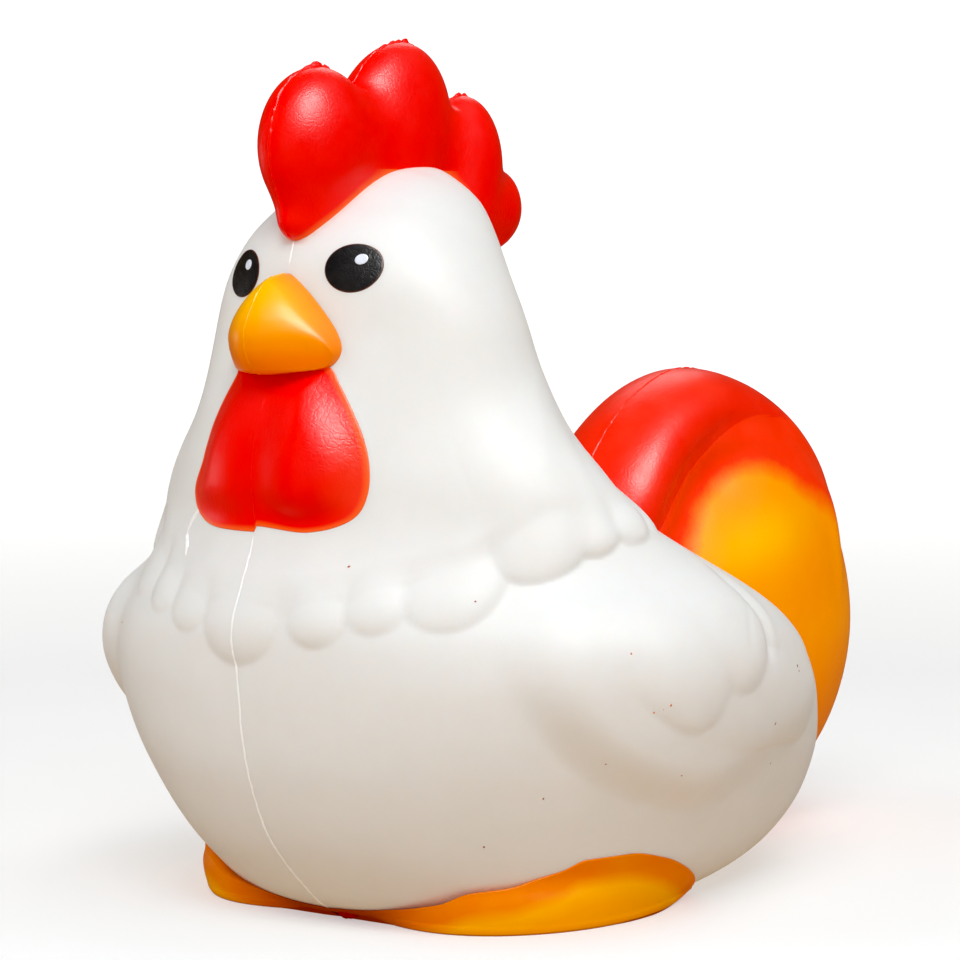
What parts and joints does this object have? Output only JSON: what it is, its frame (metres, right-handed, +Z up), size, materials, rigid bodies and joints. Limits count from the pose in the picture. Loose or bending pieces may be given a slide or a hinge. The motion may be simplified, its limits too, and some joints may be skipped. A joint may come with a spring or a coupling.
{
  "type": "rooster squeeze toy",
  "caption": "Sitting rooster squeeze toy in slow-rise foam: plump winged body, springy lobed comb, wattle bib, printed eyes, curled tail plumes and a flat base with painted feet.",
  "frame": {"origin": "on the surface the toy stands on, below the middle of its overall box", "axes": "+Z up, the bird faces -Y, +X is the bird's left; X = 0 is the symmetry plane and the mould's parting plane"},
  "size_m": [0.103, 0.1492, 0.1249],
  "materials": {
    "foam_white": "satin",
    "paint_red": "satin",
    "paint_beak": "satin",
    "print_black": "matte",
    "paint_orange": "satin"
  },
  "bodies": {
    "base": {"foam_body": "foam_white", "foot_left": "paint_orange", "foot_right": "paint_orange"},
    "head": {"beak": "paint_beak", "wattle": "paint_red", "eye_left": "print_black", "eye_right": "print_black"},
    "comb": {"comb": "paint_red"},
    "tail": {"tail_plume_red": "paint_red", "tail_plume_orange": "paint_orange"}
  },
  "joints": [
    {"name": "squeeze", "type": "slide", "parent": "base", "child": "head", "axis": [0, 0, -1], "range_m": [0, 0.04], "stiffness_N_per_m": 400, "deforming": ["foam_body"]},
    {"name": "comb_flex", "type": "hinge", "parent": "head", "child": "comb", "pos_m": [0, -0.0375, 0.104], "axis": [0, 1, 0], "range_deg": [-25, 25], "stiffness_Nm_per_rad": 0.06},
    {"name": "tail_flex", "type": "hinge", "parent": "base", "child": "tail", "pos_m": [0, 0.021, 0.04], "axis": [1, 0, 0], "range_deg": [-10, 10], "stiffness_Nm_per_rad": 0.8}
  ]
}
